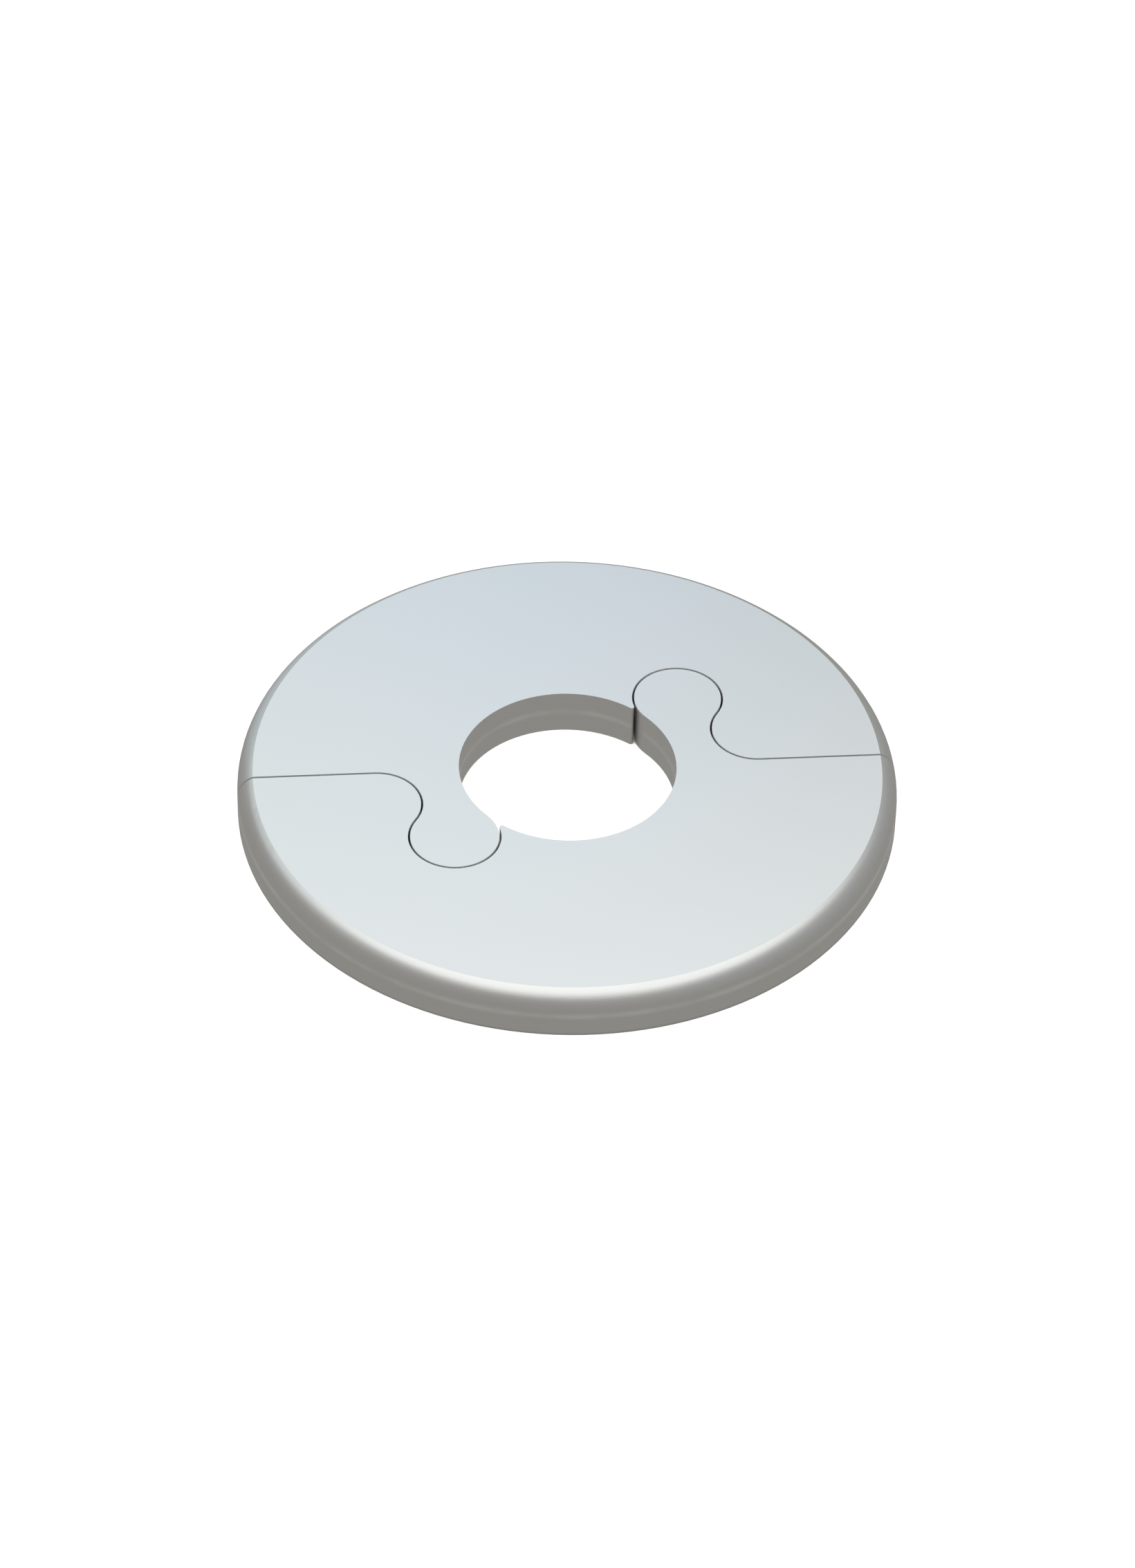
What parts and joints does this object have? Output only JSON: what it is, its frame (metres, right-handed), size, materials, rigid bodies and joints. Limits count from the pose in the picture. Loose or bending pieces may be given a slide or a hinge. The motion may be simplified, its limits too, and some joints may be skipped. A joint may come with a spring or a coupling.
{
  "type": "pipe rosette",
  "caption": "Flat round split pipe rosette with a rounded outer edge and a plain bore; interlocking halves slide together round a heating pipe and cover the hole it comes out of.",
  "frame": {"origin": "on the pipe axis, in the plane of the back face", "axes": "+Z along the pipe, away from the wall or floor that the back face lies on; X along the straight runs of the seam between the halves; the rear half lies towards +Y"},
  "size_m": [0.054, 0.054, 0.004],
  "materials": {
    "satin_aluminium": "satin, finely blasted"
  },
  "bodies": {
    "rear": {"rear_half": "satin_aluminium"},
    "front": {"front_half": "satin_aluminium"}
  },
  "joints": [
    {"name": "halves_slide", "type": "slide", "parent": "rear", "child": "front", "axis": [0, 0, 1], "range_m": [0, 0.008]}
  ]
}
